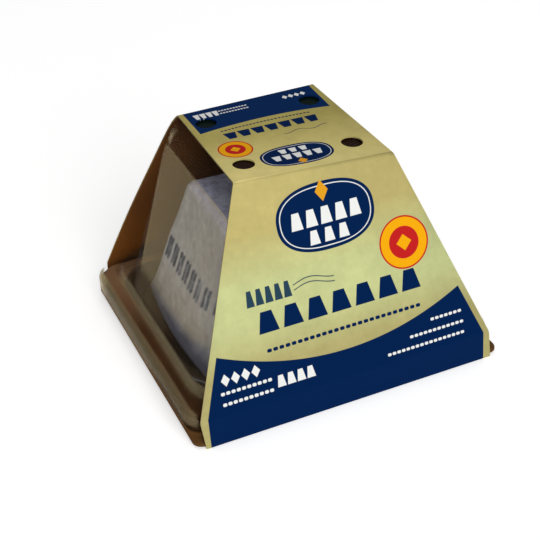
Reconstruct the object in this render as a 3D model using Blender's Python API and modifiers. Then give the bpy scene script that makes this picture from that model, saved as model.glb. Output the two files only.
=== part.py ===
"""Goat cheese pyramid in its retail pack: cheese, brown tray, clear dome and card sleeve.

Lengths are in metres. The pack stands on z = 0, centred on the origin, and the
front of the sleeve faces -Y.
"""
import math

import bmesh
import bpy
from mathutils import Vector, noise

MM = 0.001
GAP = 0.35 * MM

# Sleeve, a closed band of card round the front, top, back and underside
CARD = 0.45 * MM
SLEEVE_HEIGHT = 64.5 * MM
TOP_HALF_DEPTH = 22.2 * MM
TOP_FRONT_HALF_WIDTH = 22.5 * MM
TOP_BACK_HALF_WIDTH = 21.3 * MM
FOLD_HEIGHT = 8.9 * MM
FOLD_HALF_DEPTH = 43.75 * MM
FOLD_HALF_WIDTH = 44.1 * MM
FOLD_SHIFT = -0.5 * MM
BACK_FOLD_HALF_WIDTH = 43.2 * MM
BACK_FOLD_SHIFT = 0.6 * MM
BACK_BOW = 1.6 * MM
FOLD_BULGE = 0.9 * MM
FOLD_BULGE_SHARE = 0.09
BACK_ROWS = 8
BACK_ROW_CROWDING = 1.6
FOOT_HALF_DEPTH = 44.4 * MM
FOOT_HALF_WIDTH = 43.9 * MM
FOOT_SHIFT = 0.2 * MM
BACK_FOOT_HALF_WIDTH = 43.2 * MM
FOLD_ROUNDING = 0.6 * MM
CORNER_SAG = 2.8 * MM
SLEEVE_COLUMNS = 6
TOP_ROWS = 5

# Vent holes through the top of the sleeve
VENT_RADIUS = 3.05 * MM
VENT_X = 16.0 * MM
VENT_Y = 13.5 * MM

# Dome, a thin clear shell
DOME_WALL = 0.4 * MM
DOME_TOP = 63.7 * MM
SHOULDER_HEIGHT = 55.5 * MM
SHOULDER_HALF_WIDTH = 25.1 * MM
SHOULDER_CORNER = 0.8 * MM
BAND_HEIGHT = 13.6 * MM
LEDGE_HEIGHT = 10.0 * MM
SKIRT_FOOT = 4.2 * MM
RIM_SHIFT = -0.7 * MM
RIM_HALF_WIDTH = 46.7 * MM
RIM_HALF_DEPTH = 42.4 * MM
RIM_CORNER = 5.6 * MM
BAND_CORNER = 12.0 * MM
CORNER_GROWTH = 0.573

# Dome's rim, inset from its full size and height
RIM_PROFILE = (
    (0.0 * MM, SKIRT_FOOT),
    (0.1 * MM, LEDGE_HEIGHT - 2.0 * MM),
    (0.5 * MM, LEDGE_HEIGHT - 1.0 * MM),
    (1.4 * MM, LEDGE_HEIGHT - 0.3 * MM),
)

# Dome's foot above the ledge, how far it stands out in x and in y, and height
BAND_PROFILE = (
    (1.8 * MM, 0.3 * MM, LEDGE_HEIGHT),
    (0.9 * MM, 0.1 * MM, LEDGE_HEIGHT + 0.6 * MM),
    (0.1 * MM, 0.0 * MM, BAND_HEIGHT - 0.3 * MM),
)

# Dome's cap, half width, inset from the card's slope, corner radius and height
CAP_PROFILE = (
    (24.9 * MM, 0.1 * MM, 1.4 * MM, 56.3 * MM),
    (23.9 * MM, 0.1 * MM, 2.2 * MM, 61.0 * MM),
    (23.0 * MM, 0.2 * MM, 2.4 * MM, 62.6 * MM),
    (21.9 * MM, 0.8 * MM, 2.4 * MM, 63.4 * MM),
    (20.2 * MM, 2.1 * MM, 2.2 * MM, DOME_TOP),
    (13.0 * MM, 9.1 * MM, 1.6 * MM, DOME_TOP),
    (6.5 * MM, 15.4 * MM, 1.0 * MM, DOME_TOP),
)

# Tray, a thin brown shell whose raised middle carries the cheese
TRAY_WALL = 0.4 * MM
TRAY_RIM_HEIGHT = 9.0 * MM
PLATFORM_HEIGHT = 3.0 * MM
GROOVE_HEIGHT = 1.25 * MM
SKIRT_LEAN = 1.6 * MM
FLANGE_HEIGHT = 1.6 * MM
FLANGE_SHIFT = 0.4 * MM
FLANGE_HALF_WIDTH = 46.9 * MM
FLANGE_HALF_DEPTH = 43.6 * MM
FLANGE_CORNER = 2.8 * MM

# Tray inside its rim, half width, half depth, corner radius and height
TRAY_BASIN = (
    (42.0 * MM, 38.8 * MM, 12.0 * MM, TRAY_RIM_HEIGHT),
    (41.4 * MM, 38.2 * MM, 12.0 * MM, TRAY_RIM_HEIGHT - 0.6 * MM),
    (38.0 * MM, 35.9 * MM, 10.0 * MM, GROOVE_HEIGHT),
    (37.2 * MM, 35.2 * MM, 9.4 * MM, GROOVE_HEIGHT),
    (36.4 * MM, 34.5 * MM, 9.0 * MM, PLATFORM_HEIGHT),
    (16.0 * MM, 16.0 * MM, 4.0 * MM, PLATFORM_HEIGHT),
)

# Cheese, a truncated pyramid with soft edges, whose foot spreads between its corners
CHEESE_HEIGHT = 40.7 * MM
CHEESE_BASE_HALF = 33.0 * MM
CHEESE_TOP_HALF = 20.8 * MM
CHEESE_ROUNDING = 2.6 * MM
CHEESE_RELIEF = 0.35 * MM
CHEESE_CUTS = 12
SPREAD_HEIGHT = 7.0 * MM
SIDE_SPREAD = 4.6 * MM
FRONT_SPREAD = 2.0 * MM
CORNER_FADE = 0.8

ARC_STEPS = 6
PANEL_DROP = SLEEVE_HEIGHT - FOLD_HEIGHT
PANEL_SLOPE = (FOLD_HALF_DEPTH - TOP_HALF_DEPTH) / PANEL_DROP
EDGE_SLOPE = (FOLD_HALF_WIDTH + FOLD_SHIFT - TOP_FRONT_HALF_WIDTH) / PANEL_DROP


def clear_scene():
    """Remove every object that a new file starts with."""
    for item in list(bpy.data.objects):
        bpy.data.objects.remove(item, do_unlink=True)


def new_collection(name):
    collection = bpy.data.collections.new(name)
    bpy.context.scene.collection.children.link(collection)
    return collection


def new_material(name, color, roughness, metallic=0.0, alpha=1.0, transmission=0.0):
    material = bpy.data.materials.new(name)
    material.use_nodes = True
    shader = material.node_tree.nodes["Principled BSDF"]
    shader.inputs["Base Color"].default_value = (*color, 1.0)
    shader.inputs["Roughness"].default_value = roughness
    shader.inputs["Metallic"].default_value = metallic
    shader.inputs["Alpha"].default_value = alpha
    shader.inputs["Transmission Weight"].default_value = transmission
    return material


def add_object(name, mesh, material, collection, parent=None):
    item = bpy.data.objects.new(name, mesh)
    item.parent = parent
    mesh.materials.append(material)
    collection.objects.link(item)
    return item


def mesh_from_bmesh(name, bm):
    mesh = bpy.data.meshes.new(name)
    bm.to_mesh(mesh)
    bm.free()
    return mesh


def smooth(mesh, degrees):
    mesh.shade_smooth()
    mesh.set_sharp_from_angle(angle=math.radians(degrees))


def add_wall(item, thickness):
    """Give an open surface its thickness, on the side away from its normals."""
    wall = item.modifiers.new("wall", "SOLIDIFY")
    wall.thickness = thickness
    wall.offset = -1.0
    wall.use_even_offset = True


def panel_half_depth(z):
    """Distance from the middle to the outside of the front panel at a height."""
    return TOP_HALF_DEPTH + PANEL_SLOPE * (SLEEVE_HEIGHT - z)


def sag(x, y):
    """How far the top has settled at a point: all of it at the front right corner."""
    across = min(max((x + TOP_FRONT_HALF_WIDTH) / (2 * TOP_FRONT_HALF_WIDTH), 0.0), 1.0)
    forward = min(max((TOP_HALF_DEPTH - y) / (2 * TOP_HALF_DEPTH), 0.0), 1.0)
    return CORNER_SAG * across * forward


def rounded_ring(half_x, half_y, radius, z, shift=0.0):
    """Points of a rounded rectangle, anticlockwise seen from above."""
    points = []
    for quarter, (side_x, side_y) in enumerate(((1, 1), (-1, 1), (-1, -1), (1, -1))):
        for step in range(ARC_STEPS + 1):
            angle = math.radians(90 * quarter + 90 * step / ARC_STEPS)
            x = shift + side_x * (half_x - radius) + radius * math.cos(angle)
            y = side_y * (half_y - radius) + radius * math.sin(angle)
            points.append(Vector((x, y, z)))
    return points


def loft(name, rings, centre):
    """Skin a row of equal rings and close the last one on a centre point."""
    bm = bmesh.new()
    rows = [[bm.verts.new(point) for point in ring] for ring in rings]
    count = len(rows[0])
    for low, high in zip(rows, rows[1:]):
        for i in range(count):
            j = (i + 1) % count
            bm.faces.new((low[i], low[j], high[j], high[i]))
    hub = bm.verts.new(centre)
    for i in range(count):
        bm.faces.new((rows[-1][i], rows[-1][(i + 1) % count], hub))
    return mesh_from_bmesh(name, bm)


def settle(point, start):
    """Lower a point of the dome's top by the sag, fading out below a height."""
    share = min(max((point.z - start) / (DOME_TOP - start), 0.0), 1.0)
    return Vector((point.x, point.y, point.z - share * sag(point.x, point.y)))


def cone_radius(z):
    """Corner radius of the dome's wall, which is a cone with its tip at the shoulder."""
    return CORNER_GROWTH * (SHOULDER_HEIGHT - z) + SHOULDER_CORNER


def dome_sections():
    """Half width, half depth, corner radius, height and shift of each ring, foot to top."""
    face_gap = CARD / math.cos(math.atan(PANEL_SLOPE)) + GAP
    band_x = SHOULDER_HALF_WIDTH + PANEL_SLOPE * (SHOULDER_HEIGHT - BAND_HEIGHT)
    band_y = panel_half_depth(BAND_HEIGHT) - face_gap
    shoulder_y = panel_half_depth(SHOULDER_HEIGHT) - face_gap
    foot = [
        (RIM_HALF_WIDTH - inset, RIM_HALF_DEPTH - 0.3 * inset, RIM_CORNER, z, RIM_SHIFT)
        for inset, z in RIM_PROFILE
    ]
    band = [(band_x + out_x, band_y + out_y, BAND_CORNER, z) for out_x, out_y, z in BAND_PROFILE]
    wall = [
        (band_x, band_y, cone_radius(BAND_HEIGHT), BAND_HEIGHT),
        (SHOULDER_HALF_WIDTH, shoulder_y, SHOULDER_CORNER, SHOULDER_HEIGHT),
    ]
    cap = [
        (half_width, panel_half_depth(z) - face_gap - inset, corner, z)
        for half_width, inset, corner, z in CAP_PROFILE
    ]
    return foot + band + wall + cap


def build_dome(collection, parent):
    rings = [
        [settle(point, SHOULDER_HEIGHT) for point in rounded_ring(*section)]
        for section in dome_sections()
    ]
    centre = settle(Vector((0.0, 0.0, DOME_TOP)), SHOULDER_HEIGHT)
    mesh = loft("dome", rings, centre)
    smooth(mesh, 30)
    material = new_material("clear_plastic", (0.85, 0.84, 0.8), 0.12, alpha=0.25, transmission=1.0)
    dome = add_object("dome", mesh, material, collection, parent)
    add_wall(dome, DOME_WALL)


def tray_sections():
    """Half width, half depth, corner radius, height and shift of each ring, foot to middle."""
    inset = DOME_WALL + GAP
    flange = (FLANGE_HALF_WIDTH, FLANGE_HALF_DEPTH, FLANGE_CORNER)
    skirt = (RIM_HALF_WIDTH - inset, RIM_HALF_DEPTH - inset, RIM_CORNER - inset)
    shoulder = (skirt[0] - SKIRT_LEAN, skirt[1] - SKIRT_LEAN / 3, skirt[2])
    rim = [
        (*flange, CARD + GAP, FLANGE_SHIFT),
        (*flange, FLANGE_HEIGHT, FLANGE_SHIFT),
        (*skirt, FLANGE_HEIGHT + 0.8 * MM, RIM_SHIFT),
        (*skirt, TRAY_RIM_HEIGHT - 1.5 * MM, RIM_SHIFT),
        (*shoulder, TRAY_RIM_HEIGHT, RIM_SHIFT),
    ]
    return rim + list(TRAY_BASIN)


def build_tray(collection, parent):
    rings = [rounded_ring(*section) for section in tray_sections()]
    mesh = loft("tray", rings, Vector((0.0, 0.0, PLATFORM_HEIGHT)))
    smooth(mesh, 30)
    material = new_material("brown_plastic", (0.16, 0.085, 0.045), 0.35)
    tray = add_object("tray", mesh, material, collection, parent)
    add_wall(tray, TRAY_WALL)


def sleeve_row(half_width, y, z, shift=0.0):
    """One straight row of points across the sleeve."""
    return [
        Vector((shift + half_width * (2 * i / SLEEVE_COLUMNS - 1), y, z))
        for i in range(SLEEVE_COLUMNS + 1)
    ]


def top_front_row():
    """The fold between front and top, which runs down the front panel to the right."""
    row = []
    for i in range(SLEEVE_COLUMNS + 1):
        across = i / SLEEVE_COLUMNS
        drop = CORNER_SAG * across
        half_width = TOP_FRONT_HALF_WIDTH + EDGE_SLOPE * drop * across
        x = half_width * (2 * across - 1)
        row.append(Vector((x, -TOP_HALF_DEPTH - PANEL_SLOPE * drop, SLEEVE_HEIGHT - drop)))
    return row


def back_bow(share):
    """How far the back panel stands out, at a share of its way down from the top fold.

    It bows as a whole, and bulges where the card bends round the dome below the fold.
    """
    near = share / FOLD_BULGE_SHARE
    return BACK_BOW * 4 * share * (1 - share) + FOLD_BULGE * near * math.exp(1 - near)


def back_rows(top, fold):
    """Rows of the bowed back panel, closer together below the top fold."""
    outward = Vector((0.0, PANEL_DROP, FOLD_HALF_DEPTH - TOP_HALF_DEPTH)).normalized()
    rows = []
    for step in range(1, BACK_ROWS):
        share = (step / BACK_ROWS) ** BACK_ROW_CROWDING
        bow = outward * back_bow(share)
        rows.append([a.lerp(b, share) + bow for a, b in zip(top, fold)])
    return rows


def sleeve_rows():
    """Rows round the band's outside, from the front foot over the top to the back foot."""
    front = top_front_row()
    back = sleeve_row(TOP_BACK_HALF_WIDTH, TOP_HALF_DEPTH, SLEEVE_HEIGHT)
    back_fold = sleeve_row(BACK_FOLD_HALF_WIDTH, FOLD_HALF_DEPTH, FOLD_HEIGHT, BACK_FOLD_SHIFT)
    rows = [
        sleeve_row(FOOT_HALF_WIDTH, -FOOT_HALF_DEPTH, 0.0, FOOT_SHIFT),
        sleeve_row(FOLD_HALF_WIDTH, -FOLD_HALF_DEPTH, FOLD_HEIGHT, FOLD_SHIFT),
    ]
    for step in range(TOP_ROWS + 1):
        share = step / TOP_ROWS
        rows.append([a.lerp(b, share) for a, b in zip(front, back)])
    rows += back_rows(back, back_fold)
    rows.append(back_fold)
    rows.append(sleeve_row(BACK_FOOT_HALF_WIDTH, FOOT_HALF_DEPTH, 0.0, FOOT_SHIFT))
    return rows


def build_band():
    """The band as an open surface, closed on itself under the tray."""
    bm = bmesh.new()
    rows = [[bm.verts.new(point) for point in row] for row in sleeve_rows()]
    for low, high in zip(rows, rows[1:] + rows[:1]):
        for i in range(SLEEVE_COLUMNS):
            bm.faces.new((low[i], low[i + 1], high[i + 1], high[i]))
    return mesh_from_bmesh("sleeve", bm)


def add_vent_cutter(x, y, collection):
    """A short upright cylinder through the top of the sleeve."""
    bpy.ops.mesh.primitive_cylinder_add(vertices=20, radius=VENT_RADIUS, depth=8.0 * MM,
                                        location=(x, y, SLEEVE_HEIGHT - CORNER_SAG / 2))
    cutter = bpy.context.active_object
    cutter.name = "vent_cutter"
    for owner in list(cutter.users_collection):
        owner.objects.unlink(cutter)
    collection.objects.link(cutter)
    cutter.hide_render = True
    cutter.display_type = "WIRE"


def build_sleeve(collection, cutters, parent):
    mesh = build_band()
    material = new_material("printed_card", (0.56, 0.48, 0.17), 0.5)
    sleeve = add_object("sleeve", mesh, material, collection, parent)
    folds = sleeve.modifiers.new("folds", "BEVEL")
    folds.width = FOLD_ROUNDING
    folds.segments = 2
    folds.limit_method = "ANGLE"
    folds.angle_limit = math.radians(15)
    add_wall(sleeve, CARD)
    for side_x in (-1, 1):
        for side_y in (-1, 1):
            add_vent_cutter(side_x * VENT_X, side_y * VENT_Y, cutters)
    vents = sleeve.modifiers.new("vents", "BOOLEAN")
    vents.operation = "DIFFERENCE"
    vents.operand_type = "COLLECTION"
    vents.collection = cutters


def cheese_point(unit):
    """Move a point of the unit cube's surface onto the soft pyramid with its spread foot."""
    spread = Vector([math.sin(0.5 * math.pi * value) for value in unit])
    half_height = CHEESE_HEIGHT / 2
    half = (CHEESE_BASE_HALF + CHEESE_TOP_HALF) / 2
    block = Vector((spread.x * half, spread.y * half, spread.z * half_height))
    inner = Vector((half - CHEESE_ROUNDING, half - CHEESE_ROUNDING, half_height - CHEESE_ROUNDING))
    core = Vector([max(-limit, min(limit, value)) for value, limit in zip(block, inner)])
    soft = core + (block - core).normalized() * CHEESE_ROUNDING
    height = soft.z + half_height
    width = CHEESE_BASE_HALF + height / CHEESE_HEIGHT * (CHEESE_TOP_HALF - CHEESE_BASE_HALF)
    across, along = soft.x / half, soft.y / half
    low = max(1 - height / SPREAD_HEIGHT, 0.0) ** 2
    side = SIDE_SPREAD * low * (1 - CORNER_FADE * along * along)
    front = FRONT_SPREAD * low * (1 - CORNER_FADE * across * across)
    return Vector((across * (width + side), along * (width + front), height))


def cheese_relief(point):
    """Shallow hollows and rises of the rind, fading out on the flat underside."""
    rise = noise.noise(point * 70.0) + 0.5 * noise.noise(point * 190.0)
    fade = min(point.z / (4.0 * MM), 1.0)
    return CHEESE_RELIEF * rise * fade


def build_cheese(collection, parent):
    bm = bmesh.new()
    bmesh.ops.create_cube(bm, size=2.0)
    bmesh.ops.subdivide_edges(bm, edges=bm.edges, cuts=CHEESE_CUTS, use_grid_fill=True)
    for vert in bm.verts:
        vert.co = cheese_point(vert.co)
    bm.normal_update()
    moved = [(vert, vert.co + vert.normal * cheese_relief(vert.co)) for vert in bm.verts]
    for vert, place in moved:
        vert.co = place
    mesh = mesh_from_bmesh("cheese", bm)
    mesh.shade_smooth()
    material = new_material("ash_rind", (0.34, 0.34, 0.36), 0.85)
    cheese = add_object("cheese", mesh, material, collection, parent)
    cheese.location.z = PLATFORM_HEIGHT + GAP


def main():
    clear_scene()
    collection = new_collection("goat_cheese_pyramid")
    cutters = new_collection("cutters")
    pack = bpy.data.objects.new("pack", None)
    collection.objects.link(pack)
    build_cheese(collection, pack)
    build_tray(collection, pack)
    build_dome(collection, pack)
    build_sleeve(collection, cutters, pack)


main()
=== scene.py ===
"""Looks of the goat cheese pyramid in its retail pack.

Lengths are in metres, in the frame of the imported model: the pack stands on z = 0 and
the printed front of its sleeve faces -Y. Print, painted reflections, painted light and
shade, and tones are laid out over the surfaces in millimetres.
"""
import math

import bmesh
import bpy
from mathutils import Matrix, Vector, noise


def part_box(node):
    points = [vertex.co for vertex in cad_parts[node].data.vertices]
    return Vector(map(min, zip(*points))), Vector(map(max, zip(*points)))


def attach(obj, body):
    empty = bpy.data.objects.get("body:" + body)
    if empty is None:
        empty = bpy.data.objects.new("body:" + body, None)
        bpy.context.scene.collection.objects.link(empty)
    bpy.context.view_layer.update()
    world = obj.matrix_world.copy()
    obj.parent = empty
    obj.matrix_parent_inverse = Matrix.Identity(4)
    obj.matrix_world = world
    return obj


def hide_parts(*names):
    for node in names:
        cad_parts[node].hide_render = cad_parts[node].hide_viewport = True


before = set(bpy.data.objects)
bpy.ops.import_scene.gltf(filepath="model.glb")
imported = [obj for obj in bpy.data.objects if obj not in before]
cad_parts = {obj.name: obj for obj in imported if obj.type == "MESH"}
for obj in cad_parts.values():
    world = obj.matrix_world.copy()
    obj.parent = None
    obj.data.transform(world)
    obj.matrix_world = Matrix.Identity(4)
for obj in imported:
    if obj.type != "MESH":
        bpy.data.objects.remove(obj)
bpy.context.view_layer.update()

MM = 0.001

# Camera, at the photo's viewing angle
CAMERA_PLACE = Vector((-117.06, -274.81, 212.97)) * MM
CAMERA_AZIMUTH = 22.24
CAMERA_ELEVATION = 33.10
CAMERA_ROLL = 3.26
CAMERA_LENS = 80.0
CAMERA_SENSOR = 36.0
CAMERA_CLIP = 10.0 * MM

# Floor and light
WHITE = (1.0, 1.0, 1.0)
FLOOR_HALF_SIZE = 3.0
FLOOR_TONE = (0.90, 0.90, 0.90)
FLOOR_GLOW = 0.46
WORLD_STRENGTH = 0.35
LAMP_AIM = Vector((0.0, 0.0, 0.03))

# Softboxes, name, place, width and power in watts
SOFTBOXES = (
    ("key", (0.05, -1.0, 0.62), 0.7, 7.1),
    ("overhead", (-0.1, 0.3, 1.3), 1.0, 2.0),
)

# Sleeve, a closed band of card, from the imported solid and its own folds
SLEEVE_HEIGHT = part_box("sleeve")[1].z
CARD_THICKNESS = 0.45 * MM
TOP_HALF_DEPTH = 22.2 * MM
TOP_FRONT_HALF_WIDTH = 22.5 * MM
TOP_BACK_HALF_WIDTH = 21.3 * MM
FOLD_HEIGHT = 8.9 * MM
FOLD_HALF_DEPTH = 43.75 * MM
FOLD_HALF_WIDTH = 44.1 * MM
FOLD_SHIFT = -0.5 * MM
BACK_FOLD_HALF_WIDTH = 43.2 * MM
BACK_FOLD_SHIFT = 0.6 * MM
BACK_BOW = 1.6 * MM
FOLD_BULGE = 0.9 * MM
FOLD_BULGE_SHARE = 0.09
BACK_ROW_CROWDING = 1.6
FOOT_HALF_DEPTH = 44.4 * MM
FOOT_HALF_WIDTH = 43.9 * MM
BACK_FOOT_HALF_WIDTH = 43.2 * MM
FOOT_SHIFT = 0.2 * MM
FOLD_ROUNDING = 0.6 * MM
FOLD_SEGMENTS = 5
LEAST_FOLD_ANGLE = math.radians(12)
CORNER_SAG = 2.8 * MM
CARD_RIPPLE = 0.12 * MM
SLEEVE_COLUMNS = 24
PANEL_ROWS = 12
VENT_RADIUS = 3.05 * MM
VENT_X = 16.0 * MM
VENT_Y = 13.5 * MM
VENT_CUTTER_DEPTH = 8.0 * MM
VENT_CUTTER_SIDES = 64

PANEL_DROP = SLEEVE_HEIGHT - FOLD_HEIGHT
PANEL_SLOPE = (FOLD_HALF_DEPTH - TOP_HALF_DEPTH) / PANEL_DROP
EDGE_SLOPE = (FOLD_HALF_WIDTH + FOLD_SHIFT - TOP_FRONT_HALF_WIDTH) / PANEL_DROP
PANEL_STRETCH = math.hypot(1.0, PANEL_SLOPE)

# Dome, a thin clear shell
PLASTIC_THICKNESS = 0.4 * MM
CLEARANCE = 0.35 * MM
DOME_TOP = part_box("dome")[1].z
SHOULDER_HEIGHT = 55.5 * MM
SHOULDER_HALF_WIDTH = 25.1 * MM
SHOULDER_CORNER = 0.8 * MM
BAND_HEIGHT = 13.6 * MM
LEDGE_HEIGHT = 10.0 * MM
SKIRT_FOOT = 4.2 * MM
RIM_SHIFT = -0.7 * MM
RIM_HALF_WIDTH = 46.7 * MM
RIM_HALF_DEPTH = 42.4 * MM
RIM_CORNER = 5.6 * MM
RIM_INSET_IN_DEPTH = 0.3
BAND_CORNER = 12.0 * MM
CORNER_GROWTH = 0.573
DOME_BENDS = 0.35 * MM
ARC_STEPS = 16

# Dome's rim, inset from its full size and height
RIM_PROFILE = (
    (0.0 * MM, SKIRT_FOOT),
    (0.1 * MM, LEDGE_HEIGHT - 2.0 * MM),
    (0.5 * MM, LEDGE_HEIGHT - 1.0 * MM),
    (1.4 * MM, LEDGE_HEIGHT - 0.3 * MM),
)

# Dome's foot above the ledge, how far it stands out in x and in y, and height
BAND_PROFILE = (
    (1.8 * MM, 0.3 * MM, LEDGE_HEIGHT),
    (0.9 * MM, 0.1 * MM, LEDGE_HEIGHT + 0.6 * MM),
    (0.1 * MM, 0.0 * MM, BAND_HEIGHT - 0.3 * MM),
)

# Dome's cap, half width, inset from the card's slope, corner radius and height
CAP_PROFILE = (
    (24.9 * MM, 0.1 * MM, 1.4 * MM, 56.3 * MM),
    (23.9 * MM, 0.1 * MM, 2.2 * MM, 61.0 * MM),
    (23.0 * MM, 0.2 * MM, 2.4 * MM, 62.6 * MM),
    (21.9 * MM, 0.8 * MM, 2.4 * MM, 63.4 * MM),
    (20.2 * MM, 2.1 * MM, 2.2 * MM, DOME_TOP),
    (13.0 * MM, 9.1 * MM, 1.6 * MM, DOME_TOP),
    (6.5 * MM, 15.4 * MM, 1.0 * MM, DOME_TOP),
)

# Tray, a thin brown shell whose raised middle carries the cheese
TRAY_RIM_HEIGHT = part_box("tray")[1].z
PLATFORM_HEIGHT = 3.0 * MM
GROOVE_HEIGHT = 1.25 * MM
FLANGE_HEIGHT = 1.6 * MM
FLANGE_SHIFT = 0.4 * MM
FLANGE_HALF_WIDTH = 46.9 * MM
FLANGE_HALF_DEPTH = 43.6 * MM
FLANGE_CORNER = 2.8 * MM
TRAY_SKIRT_FOOT = FLANGE_HEIGHT + 0.8 * MM
TRAY_SKIRT_TOP = TRAY_RIM_HEIGHT - 1.5 * MM
TRAY_LEAN_IN_WIDTH = 1.6 * MM
TRAY_LEAN_IN_DEPTH = TRAY_LEAN_IN_WIDTH / 3
TRAY_BENDS = 0.4 * MM

# Tray inside its rim, half width, half depth, corner radius and height
TRAY_BASIN = (
    (42.0 * MM, 38.8 * MM, 12.0 * MM, TRAY_RIM_HEIGHT),
    (41.4 * MM, 38.2 * MM, 12.0 * MM, TRAY_RIM_HEIGHT - 0.6 * MM),
    (38.0 * MM, 35.9 * MM, 10.0 * MM, GROOVE_HEIGHT),
    (37.2 * MM, 35.2 * MM, 9.4 * MM, GROOVE_HEIGHT),
    (36.4 * MM, 34.5 * MM, 9.0 * MM, PLATFORM_HEIGHT),
    (16.0 * MM, 16.0 * MM, 4.0 * MM, PLATFORM_HEIGHT),
)

# Cheese, a truncated pyramid with soft edges, whose foot spreads between its corners
CHEESE_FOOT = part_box("cheese")[0].z
CHEESE_HEIGHT = 40.7 * MM
CHEESE_BASE_HALF = 33.0 * MM
CHEESE_TOP_HALF = 20.8 * MM
CHEESE_ROUNDING = 2.6 * MM
CHEESE_CUTS = 80
SPREAD_HEIGHT = 7.0 * MM
SIDE_SPREAD = 4.6 * MM
FRONT_SPREAD = 2.0 * MM
CORNER_FADE = 0.8

# Relief of the cheese's rind, how far each part of it stands out
HOLLOWS = 0.35 * MM
WRINKLES = 0.10 * MM
WRINKLE_SHIFT = Vector((3.0, 0.0, 7.0))
GRIT = 0.05 * MM
RELIEF_FADE = 4.0 * MM


def srgb(red, green, blue):
    """Linear colour of a screen colour given from 0 to 255."""
    def linear(level):
        level /= 255
        return level / 12.92 if level <= 0.04045 else ((level + 0.055) / 1.055) ** 2.4
    return linear(red), linear(green), linear(blue)


# Inks and card
NAVY = srgb(0, 31, 75)
TOP_NAVY = srgb(0, 38, 86)
SOFT_NAVY = srgb(40, 66, 84)
PALE = srgb(232, 233, 230)
GOLD_LEAF = srgb(222, 156, 34)
SEAL_YELLOW = srgb(239, 168, 12)
SEAL_RED = srgb(190, 32, 32)
CARD_GOLD = srgb(192, 178, 113)
CARD_FOOT = srgb(176, 167, 110)
CARD_LIME = srgb(195, 200, 140)
CARD_INSIDE = srgb(108, 63, 19)
CARD_EDGE = srgb(176, 158, 112)
# Painted light on the top near its front fold, and painted shade towards its back
TOP_FRONT_PAINTED_LIGHT = (1.46, 1.47, 1.54)
TOP_BACK_PAINTED_SHADE = (0.88, 0.88, 0.72)

# Colours of the card, each with its share of the sleeve's height
CARD_STOPS = ((0.28, CARD_FOOT), (0.46, CARD_LIME), (0.60, CARD_LIME), (0.80, CARD_GOLD))

# Plastics and rind
TRAY_BROWN = srgb(68, 45, 25)
TRAY_WARMTH = (1.5, 1.3, 1.2)
LEDGE_BROWN = srgb(132, 98, 70)
SKIRT_BROWN = srgb(46, 30, 14)
FLANGE_BROWN = srgb(96, 67, 37)
# painted shade in the tray's basin, at the back and darker at the front
BASIN_SHADE_BROWN = srgb(62, 42, 26)
BASIN_SHADE_DARK = srgb(36, 28, 22)
# painted shade seen through the vent holes, at the front and at the back
VENT_SHADE_BROWN = srgb(36, 17, 11)
VENT_SHADE_GREEN = srgb(6, 22, 18)
# tone of the painted reflections on the dome
REFLECTION_TAN = srgb(206, 186, 142)
MARK_GREY = srgb(52, 50, 50)
ASH = srgb(150, 152, 158)
MOULD = srgb(196, 198, 200)
ASH_BLUE = srgb(226, 228, 254)
ASH_SHADE = srgb(182, 184, 212)
# dark ash tone that stands for painted shade on the cheese's edges and foot
SHADED_ASH = srgb(104, 104, 118)

# From here to the classes, all lengths are in millimetres.
# In the print, `down` runs from a panel's top fold down the card. The top's print is
# turned round, so there it runs towards the back.

# Edges of the printed panels
FRONT_PRINT_BACK = -20.0
TOP_PRINT_FOOT = 50.0
BACK_PRINT_FRONT = 22.6
UNDERSIDE_HEIGHT = 0.6
UNDERSIDE_HALF_DEPTH = 43.8

# Navy fields at the foot of the front and the back
FIELD_SPREAD = (FOLD_HALF_WIDTH - TOP_FRONT_HALF_WIDTH) / PANEL_DROP
FIELD_BORDER = 1.9
FIELD_ARCH = 51.9
FIELD_ARCH_BEND = 0.0062

# Navy fields, shift and half width of the panel at its top fold and at its foot
FRONT_FIELD = (0.7 * FOLD_SHIFT / MM, TOP_FRONT_HALF_WIDTH / MM, 44.0)
BACK_FIELD = (0.4, 20.6, 42.9)

# Navy field on the top, and how a line of dashes beside it bends
TOP_FIELD_HALF_WIDTH = 19.9
TOP_FIELD_ARCH = 9.5
TOP_FIELD_ARCH_BEND = 0.0045
TOP_LINE_BEND = 0.003

# Rows of printed pyramids, ink, place down, first one across, count, pitch, half foot,
# half top and half height
FRONT_PYRAMIDS = (
    (PALE, 14.3, -7.7, 5, 4.3, 1.7, 1.0, 2.3),
    (PALE, 19.6, -3.4, 3, 4.3, 1.5, 0.9, 1.9),
    (SOFT_NAVY, 31.0, -24.6, 5, 2.7, 1.15, 0.6, 2.2),
    (NAVY, 38.1, -20.9, 7, 7.13, 2.95, 1.6, 2.9),
    (PALE, 54.9, -20.4, 4, 2.9, 1.25, 0.7, 1.6),
)
TOP_PYRAMIDS = (
    (PALE, 18.0, -17.0, 4, 1.9, 0.85, 0.5, 1.5),
    (NAVY, 3.2, -12.6, 7, 4.1, 1.85, 1.1, 1.8),
    (PALE, -11.3, -3.7, 3, 3.0, 1.1, 0.7, 1.1),
    (PALE, -14.5, -6.7, 5, 3.0, 1.2, 0.7, 1.3),
)
BACK_PYRAMIDS = ((NAVY, 14.0, -17.1, 7, 5.7, 2.4, 1.3, 2.5),)

# Printed lines of dashes, ink, place down, first and last dash across, pitch and half
# height
FRONT_DASHES = (
    (NAVY, 45.9, -22.0, 23.0, 1.8, 0.5),
    (PALE, 53.7, -37.0, -24.0, 1.5, 0.45),
    (PALE, 56.7, -37.0, -24.0, 1.5, 0.45),
    (PALE, 51.0, 26.6, 35.8, 1.45, 0.4),
    (PALE, 54.2, 19.5, 35.8, 1.45, 0.4),
    (PALE, 57.3, 12.0, 35.8, 1.45, 0.4),
)
TOP_DASHES = (
    (PALE, 17.2, -9.9, -1.9, 0.9, 0.3),
    (PALE, 18.8, -9.9, -1.9, 0.9, 0.3),
)
BACK_DASHES = tuple((NAVY, 24.0 + 3.0 * line, -22.0, 22.0, 1.6, 0.4) for line in range(5))

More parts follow.
